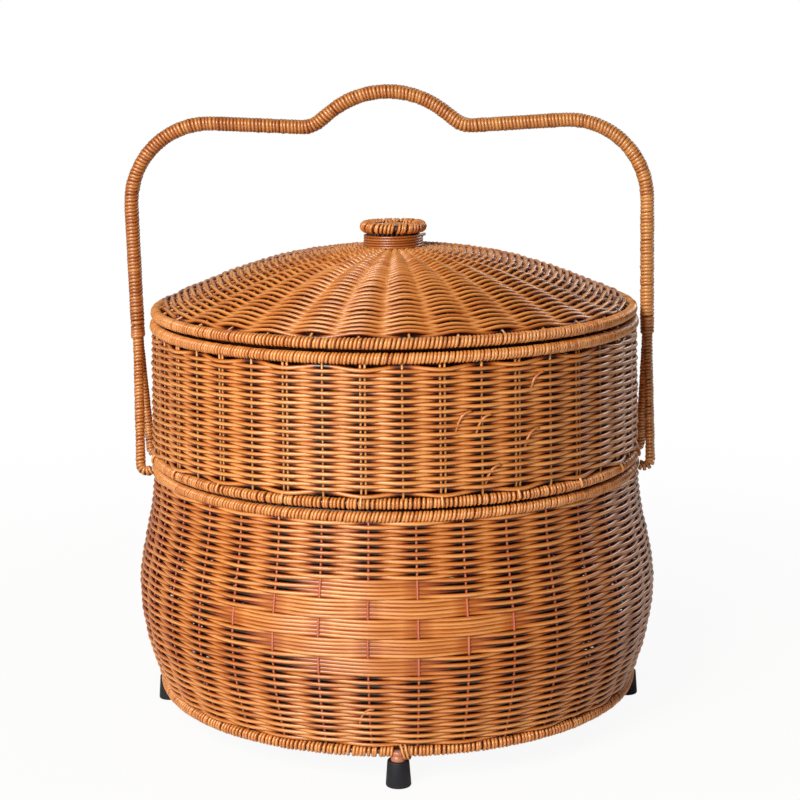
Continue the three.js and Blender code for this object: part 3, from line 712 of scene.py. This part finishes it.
# The posts' peeled cane took the stain thinly: it stands out as a pale, pinkish brown over the black cups.
post_cane = cane_finish("peeled_cane_post", "#6A2E1E", "#9A5440", "#CE8668", "#EAB498", 0.45)
for k, side in enumerate(SIDE_NAMES):
    turn = math.pi / 2 * k
    cup_low, cup_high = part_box("foot_cup_" + side)
    post_low, post_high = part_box("foot_post_" + side)
    centre = (cup_low + cup_high) / 2 / MM
    cup_r = (cup_high.x - cup_low.x) / 2 / MM
    cup_top = cup_high.z / MM
    post_r = (post_high.x - post_low.x) / 2 / MM
    cup = place_bundle(cup_bundle(cup_r, cup_top, post_r), turn, (centre.x, centre.y, 0))
    make_piece("foot_cup_rubber_" + side, cup, rubber, "lower_basket", "rubber", "foot_cup_" + side)
    post = place_bundle(post_bundle(cup_top, post_r), turn, (centre.x, centre.y, 0))
    make_piece("foot_post_cane_" + side, post, post_cane, "lower_basket", "cane", "foot_post_" + side)
    lashing = place_bundle(lashing_bundle(), turn, (0, 0, 0))
    make_piece("foot_lashing_" + side, lashing, wound_cane, "lower_basket", "wrapping")


# Handle: two cane rods bent into one hoop with a raised grip, wound tightly together with cane.
# Each side parts into a front and a back leg, wound by themselves, whose feet turn in to the lower rim.
HOOP_HALF_WIDTH = 197.3
SHOULDER_Z = 460
SHOULDER_R = 61
VALLEY_X = 57.4
VALLEY_DROP = 7.1
VALLEY_R = 20
GRIP_R = 69.2
GRIP_RISE = 45.7
HANDLE_LEAN = 4.2
CANE_FLAT = 0.5
HOOP_STRAND_D = 3.3
HOOP_PITCH = 2.68
HOOP_SWELL = 0.7
HOOP_ROD_PLAY, HOOP_ROD_ASIDE = 0.2, 1.5
LEG_D = 7.2
LEG_STRAND_D = 3.1
LEG_PITCH = 2.6
LEG_SWELL = 0.5
LEG_ROD_BITE = 0.5
LEG_STANDOFF = 8.6
LEG_BEND_R = 5
LEG_SPREAD = 64
LEG_DROP = 5.5
LEG_END_GAP, LEG_END_DROP = 0.3, 1.0
BINDING_WALL = 1.8
BINDING_SWELL = 3.4
BINDING_TIGHT = 0.8
RAIL_AHEAD = 1.5
RAIL_SIDEWAYS = (0, 1, 0)


def rounded_path(corners):
    """Points along straight runs between (point, radius) corners, each corner rounded by its radius."""
    corners = [(np.array(point, float), radius) for point, radius in corners]
    points = [corners[0][0]]
    for (before, _), (here, radius), (after, _) in zip(corners, corners[1:], corners[2:]):
        back = (before - here) / np.linalg.norm(before - here)
        ahead = (after - here) / np.linalg.norm(after - here)
        turn = math.pi - math.acos(float(np.clip(back @ ahead, -1, 1)))
        setback = radius * math.tan(turn / 2)
        pull = 4 / 3 * math.tan(turn / 4) * radius
        knots = [here + back * setback, here + back * (setback - pull), here + ahead * (setback - pull),
                 here + ahead * setback]
        for t in np.linspace(0, 1, 13):
            shares = ((1 - t) ** 3, 3 * t * (1 - t) ** 2, 3 * t * t * (1 - t), t ** 3)
            points.append(sum(share * knot for share, knot in zip(shares, knots)))
    points.append(corners[-1][0])
    return np.array(points)


def path_rail(points):
    """A rail along a path that never runs from front to back, and its length."""
    run = np.concatenate([[0], np.cumsum(np.linalg.norm(np.diff(points, axis=0), axis=1))])

    def at(s):
        s = np.clip(s, 0, run[-1])
        return np.stack([np.interp(s, run, points[:, k]) for k in range(3)], axis=1)

    def rail(along):
        ahead = at(along + RAIL_AHEAD) - at(along - RAIL_AHEAD)
        ahead /= np.linalg.norm(ahead, axis=1, keepdims=True)
        out = np.cross(np.broadcast_to(np.asarray(RAIL_SIDEWAYS, float), ahead.shape), ahead)
        out /= np.linalg.norm(out, axis=1, keepdims=True)
        return at(along), out, np.cross(ahead, out)

    return rail, run[-1]


def rod_along(bundle, rail, run, diameter, aside=0.0):
    """A rod that follows a rail, moved aside by so many mm."""
    along = np.linspace(0, run, max(12, int(run / 6)))
    centre, out, up = rail(along)
    lay_strand(bundle, centre + aside * up, diameter, out, ROD_SIDES, tone=ROD_TONE)


grip_low, grip_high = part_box("handle_grip")
hoop_d = (grip_high.y - grip_low.y) / MM
fork_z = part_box("handle_side_left")[0].z / MM
valley_z = SHOULDER_Z - VALLEY_DROP
grip_z = valley_z + GRIP_RISE

# The handle's cane is stained darker than the rings' and rubbed smoother by hands, so it shines a bit more.
dark_cane = cane_finish("dark_stained_cane_winding", "#120301", "#602404", "#A0500E", "#DA9852", 0.44)


def leaning(x, y, z):
    """A point of the handle, which leans a little to the left as it rises from the rim."""
    return x - HANDLE_LEAN * (z - rim_z) / (grip_z - rim_z), y, z


def leg_corners(side_x, side_y, pair_y, top, binding_foot):
    """A leg's corners: down beside its twin, out to its own bearing on the rim, and in to the rim."""
    outside = rim_r + rim_d / 2
    bearing = math.asin(LEG_SPREAD / 2 / (outside + LEG_STANDOFF))

    def on_bearing(reach, drop):
        return side_x * reach * math.cos(bearing), side_y * reach * math.sin(bearing), rim_z - drop

    return [
        (leaning(side_x * HOOP_HALF_WIDTH, side_y * pair_y, top), 0),
        (leaning(side_x * HOOP_HALF_WIDTH, side_y * pair_y, binding_foot - LEG_D), LEG_D),
        (on_bearing(outside + LEG_STANDOFF, LEG_DROP), LEG_BEND_R),
        (on_bearing(outside + LEG_END_GAP, LEG_END_DROP), 0),
    ]


hoop_rail, hoop_run = path_rail(rounded_path([
    (leaning(-HOOP_HALF_WIDTH, 0, fork_z), 0),
    (leaning(-HOOP_HALF_WIDTH, 0, SHOULDER_Z), SHOULDER_R),
    (leaning(-VALLEY_X, 0, valley_z), VALLEY_R),
    (leaning(0, 0, grip_z), GRIP_R),
    (leaning(VALLEY_X, 0, valley_z), VALLEY_R),
    (leaning(HOOP_HALF_WIDTH, 0, SHOULDER_Z), SHOULDER_R),
    (leaning(HOOP_HALF_WIDTH, 0, fork_z), 0),
]))
hoop_winding = new_bundle()
wind(hoop_winding, hoop_rail, hoop_run, hoop_d + HOOP_SWELL, HOOP_STRAND_D, HOOP_PITCH, lean=0.3,
     steps=12, untidy=0.05, flat=CANE_FLAT, tones=(0.1, 0.8))
make_piece("handle_hoop_winding", hoop_winding, dark_cane, "lower_basket", "wrapping", "handle_grip",
           "handle_side_left", "handle_side_right")
hoop_rods = new_bundle()
for aside in (-HOOP_ROD_ASIDE, HOOP_ROD_ASIDE):
    rod_along(hoop_rods, hoop_rail, hoop_run, hoop_d / 2 - HOOP_ROD_PLAY, aside)
make_piece("handle_hoop_rods", hoop_rods, rod_cane, "lower_basket", "cane")

leg_rods = new_bundle()
leg_rod_d = LEG_D + LEG_SWELL - 2 * CANE_FLAT * LEG_STRAND_D + LEG_ROD_BITE
for side, side_x in (("left", -1), ("right", 1)):
    binding_low, binding_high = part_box("handle_binding_" + side)
    pair_y = (binding_high.y - binding_low.y) / 2 / MM - BINDING_WALL - LEG_D / 2
    for end, side_y in (("front", -1), ("back", 1)):
        node = f"handle_leg_{side}_{end}"
        leg_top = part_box(node)[1].z / MM
        corners = leg_corners(side_x, side_y, pair_y, leg_top, binding_low.z / MM)
        leg_rail, leg_run = path_rail(rounded_path(corners))
        leg_winding = new_bundle()
        wind(leg_winding, leg_rail, leg_run, LEG_D + LEG_SWELL, LEG_STRAND_D, LEG_PITCH, lean=0.25,
             untidy=0.08, flat=CANE_FLAT)
        make_piece(node + "_winding", leg_winding, dark_cane, "lower_basket", "wrapping", node)
        rod_along(leg_rods, leg_rail, leg_run, leg_rod_d)
    binding_rail, binding_run = path_rail(np.array([
        leaning(side_x * HOOP_HALF_WIDTH, 0, binding_high.z / MM),
        leaning(side_x * HOOP_HALF_WIDTH, 0, binding_low.z / MM),
    ]))
    binding = new_bundle()
    wind(binding, binding_rail, binding_run, LEG_D + BINDING_SWELL, HOOP_STRAND_D, HOOP_PITCH, lean=0.2,
         steps=16, pair_gap=pair_y - BINDING_TIGHT, flat=CANE_FLAT)
    make_piece("handle_fork_winding_" + side, binding, dark_cane, "lower_basket", "wrapping",
               "handle_binding_" + side)
make_piece("handle_leg_rods", leg_rods, rod_cane, "lower_basket", "cane")


# Tray floor: the same mat of stained cane as the lower floor, woven by itself and set inside the tray's
# foot ring.
woven_floor("tray_floor_mat", "tray_floor", "tray")


# Tray rings: the foot ring stands on the lower rim, and the thicker mouth ring carries the lid.
# Both are cane rods closely wound with one strand.
MOUTH_EASE = 0.7
foot_r, foot_z, foot_d = wound_ring("tray_foot_ring", "tray", pitch=2.85, lean=-0.3, untidy=0.15,
                                    ease=RING_EASE)
mouth_r, mouth_z, mouth_d = wound_ring("tray_mouth_ring", "tray", pitch=2.52, lean=0.4, ease=-MOUTH_EASE)


# Tray wall: round cane woven tightly on golden stakes that stand by turns single and in pairs.
# The left stake of each pair goes on down over the foot ring.
TRAY_ROWS = 35
TRAY_STAKES = 42
TRAY_SWAY = 0.1
TRAY_STRAND_D = 3.1
TRAY_SWING = 2.0
TRAY_FIRST_ROW, TRAY_LAST_ROW = 3.1, -1.85
TRAY_STAKE_D = 2.0
PAIR_HALF = 1.6
TRAY_FIRST = 10.3
TRAY_SAG = 1.8
TAIL_TONE = 0.8
TRAY_WEAVER_ENDS = ((13, 268), (17.5, 265), (19.5, 229), (29, 252), (30.5, 291), (-130, 240), (155, 262))

tray_bottom = foot_z + foot_d / 2
tray_top = mouth_z - mouth_d / 2
tray_rise = tray_top - tray_bottom

# The tray's stakes are stained a clearer gold than the weavers and show as bright uprights between them.
golden_cane = cane_finish("golden_stained_cane_stakes", "#301004", "#984A0C", "#D07E28", "#F6B878", 0.44)


def tray_surface(v, offset):
    """The wall's middle, straight from the foot ring out to the mouth ring."""
    return foot_r + (mouth_r - foot_r) * v + offset, tray_bottom + (tray_top - tray_bottom) * v


def tray_shift(row, place):
    """The lowest and the highest row sag where they pass in front of a pair of stakes."""
    sag = TRAY_SAG * (1 + np.cos(np.pi * place)) / 2
    return -sag if row in (0, TRAY_ROWS - 1) else 0 * place


def lay_tail(bundle, angle):
    """The tail of a stake, over the front of the foot ring. Its points are so far out from the ring's middle
    and so far up from its top, in mm."""
    front = foot_d / 2
    points = ((0.8, 1.6), (front - 1.4, 0.2), (front + 0.2, -1.8), (front + 0.7, -3.6), (front, -5.6))
    outward = np.array([math.cos(angle), math.sin(angle), 0])
    path = [(foot_r + reach) * outward + np.array([0, 0, tray_bottom + rise]) for reach, rise in points]
    lay_strand(bundle, path, TRAY_STAKE_D, outward, tone=TAIL_TONE, lift=STAKE_LIFT)


tray_angles = stake_angles(TRAY_STAKES, TRAY_FIRST, TRAY_SWAY)
tray_rows = np.linspace(TRAY_FIRST_ROW, tray_rise + TRAY_LAST_ROW, TRAY_ROWS) / tray_rise
tray_weavers = new_bundle()
weave(tray_weavers, tray_surface, tray_rows, tray_angles, plain_signs(TRAY_ROWS, TRAY_STAKES), TRAY_STRAND_D,
      TRAY_SWING, shift=tray_shift)
for from_front, height in TRAY_WEAVER_ENDS:
    weaver_end(tray_weavers, tray_surface, tray_bottom, tray_top, from_front, height)
make_piece("tray_weavers", tray_weavers, wicker_cane, "tray", "wicker", "tray_wall")
tray_stakes = new_bundle()
lay_stakes(tray_stakes, tray_surface, tray_angles[1::2], TRAY_STAKE_D, 10, STAKE_REACH)
for aside in (-PAIR_HALF, PAIR_HALF):
    lay_stakes(tray_stakes, tray_surface, tray_angles[0::2], TRAY_STAKE_D, 10, STAKE_REACH, aside=aside)
for angle in tray_angles[0::2] - PAIR_HALF / foot_r:
    lay_tail(tray_stakes, angle)
make_piece("tray_stakes", tray_stakes, golden_cane, "tray", "wicker")


# Tray locator: a hoop of bare bent cane under the tray's floor, stained dark like the other rods.
# It drops inside the lower rim and keeps the tray in its middle.
make_ring_rod("tray_locator_hoop", *ring_measures("tray_locator"), "tray", "tray_locator")


# Lid ring and its locator: a wound cane ring that rests on the tray's mouth, with a hoop of bare cane
# fixed below it, which drops inside the mouth.
wound_ring("lid_ring", "lid", pitch=2.87, lean=0.3, ease=MOUTH_EASE)
make_ring_rod("lid_locator_hoop", *ring_measures("lid_locator"), "lid", "lid_locator")


# Lid dome: cane weavers on stakes that run in from the ring to the knob, over a low dome. The weave lies
# flatter towards the middle, and there each row swells out over the stakes, so that flutes run up the lid.
LID_ROWS = 59
LID_STAKES = 33
LID_SWAY = 0.25
LID_FIRST = 188.9
LID_STRAND_D = 3.1
LID_SWING = 2.1
LID_SWING_MIDDLE = 0.4
LID_FLUTE = 0.3
LID_FLUTE_MIDDLE = 1.1
LID_CROWDED = 0.6
LID_TONES = (0.3, 0.85)
LID_STAKE_D = 2.2
LID_STAKE_REACH = (-0.02, 1.0)
DOME_RISE = 39.8
DOME_HUB_R = 20
DOME_COVER = 3.1
PEAKED_AT = (0, 0.55, 0.75, 0.9, 1)
PEAKED_BY = (1.8, 1.8, 0.2, -0.8, 0)

dome_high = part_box("lid_dome")[1]
dome_edge = dome_high.x / MM
dome_top = dome_high.z / MM - DOME_COVER
dome_sphere = (dome_edge ** 2 + DOME_RISE ** 2) / (2 * DOME_RISE)


def dome_surface(v, offset):
    """The weave's middle: a cap of a sphere, a little higher in the middle and lower near the edge."""
    reach = dome_edge + (DOME_HUB_R - dome_edge) * v
    rise = np.sqrt(dome_sphere ** 2 - reach ** 2) + np.interp(reach / dome_edge, PEAKED_AT, PEAKED_BY)
    return reach + offset * reach / dome_sphere, dome_top - dome_sphere + rise + offset * rise / dome_sphere


lid_angles = stake_angles(LID_STAKES, LID_FIRST, LID_SWAY)
room = np.clip((np.arange(LID_ROWS)[::-1] + 1) / (LID_CROWDED * LID_ROWS), 0, 1)
lid_swings = LID_SWING_MIDDLE + (LID_SWING - LID_SWING_MIDDLE) * room
lid_signs = -plain_signs(LID_ROWS, LID_STAKES) * (lid_swings[:, None] / LID_SWING)
lid_flutes = LID_FLUTE_MIDDLE + (LID_FLUTE - LID_FLUTE_MIDDLE) * room
slopes = np.arcsin(dome_edge / dome_sphere) * (1 - even_rows(LID_ROWS))
slopes += np.arcsin(DOME_HUB_R / dome_sphere) * even_rows(LID_ROWS)
lid_rows = (dome_edge - dome_sphere * np.sin(slopes)) / (dome_edge - DOME_HUB_R)
lid_weavers = new_bundle()
weave(lid_weavers, dome_surface, lid_rows, lid_angles, lid_signs, LID_STRAND_D, LID_SWING, flutes=lid_flutes,
      tones=LID_TONES)
make_piece("lid_weavers", lid_weavers, wicker_cane, "lid", "wicker", "lid_dome")
lid_stakes = new_bundle()
lay_stakes(lid_stakes, dome_surface, lid_angles, LID_STAKE_D, 14, LID_STAKE_REACH)
make_piece("lid_stakes", lid_stakes, wicker_cane, "lid", "wicker")


# Knob: the gathered stake ends stand up through the middle of the lid, held by a neck of coiled cane and
# topped by a ring that is wound thickly and a little untidily, with a swirl of cane inside it.
KNOB_STRAND_D = 2.5
KNOB_PITCH = 2.7
NECK_STRAND_D = 2.35
NECK_COILS = 5
NECK_INSET = 0.9
NECK_SUNK, NECK_TOP_GAP = 1.8, 0.2
NECK_TAIL, NECK_TAIL_TURN = 2.2, 0.3
GATHERED_ENDS = 33
GATHERED_D = 3.4
GATHERED_INSET = 3.2
GATHERED_SUNK, GATHERED_RISE = 3, 2
# The gathered ends' lift moves nothing: it only gives their outer side painted shade.
GATHERED_TONES, GATHERED_SHADE_LIFT = (0, 0.4), -0.6
SWIRL_STRANDS = 18
SWIRL_STRAND_D = 2.6
SWIRL_R, SWIRL_RUN = 17.5, 15
SWIRL_TWIST = 1.3
SWIRL_SUNK, SWIRL_RISE = 1.5, 3.5

knob_r, knob_z, knob_d = ring_measures("knob_winding")
neck_low, neck_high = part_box("knob_neck")
neck_r = neck_high.x / MM - NECK_INSET
neck_bottom, neck_top = neck_low.z / MM, neck_high.z / MM

knob_winding = new_bundle()
wind(knob_winding, ring_rail(knob_r, knob_z), 2 * np.pi * knob_r, knob_d, KNOB_STRAND_D, KNOB_PITCH,
     lean=0.25, closed=True, untidy=0.2)
make_piece("knob_ring_winding", knob_winding, wound_cane, "lid", "wrapping", "knob_winding")
make_ring_rod("knob_ring_rod", knob_r, knob_z, knob_d - 2 * KNOB_STRAND_D + ROD_BITE, "lid", "knob_core")

neck = new_bundle()
turn = np.linspace(0, 2 * np.pi * NECK_COILS, NECK_COILS * 48)
climb = np.linspace(neck_bottom + NECK_STRAND_D / 2 - NECK_SUNK, neck_top - NECK_STRAND_D / 2 - NECK_TOP_GAP,
                    len(turn))
reach = neck_r + NECK_TAIL * np.clip((turn - turn[-1]) / NECK_TAIL_TURN + 1, 0, 1)
lay_strand(neck, round_axis(reach, climb, turn), NECK_STRAND_D, round_axis(1, 0, turn), tone=0.0)
make_piece("knob_neck_coil", neck, dark_cane, "lid", "wrapping", "knob_neck")

gathered = new_bundle()
for angle in 2 * np.pi * even_rows(GATHERED_ENDS):
    outward = np.array([math.cos(angle), math.sin(angle), 0])
    heights = np.linspace(neck_bottom - GATHERED_SUNK, knob_z + GATHERED_RISE, 4)
    path = [(neck_r - GATHERED_INSET) * outward + np.array([0, 0, z]) for z in heights]
    lay_strand(gathered, path, GATHERED_D, outward, tone=rng.uniform(*GATHERED_TONES), lift=GATHERED_SHADE_LIFT)
make_piece("knob_gathered_ends", gathered, rod_cane, "lid", "cane")

plug = new_bundle()
for k in range(SWIRL_STRANDS):
    along = np.linspace(0, 1, 12)
    angle = 2 * np.pi * k / SWIRL_STRANDS + SWIRL_TWIST * along
    path = round_axis(SWIRL_R - SWIRL_RUN * along, knob_z - SWIRL_SUNK + SWIRL_RISE * along, angle)
    lay_strand(plug, path, SWIRL_STRAND_D, (0, 0, 1), tone=rng.uniform(*STAKE_TONES))
make_piece("knob_plug_swirl", plug, wicker_cane, "lid", "cane", "knob_plug")
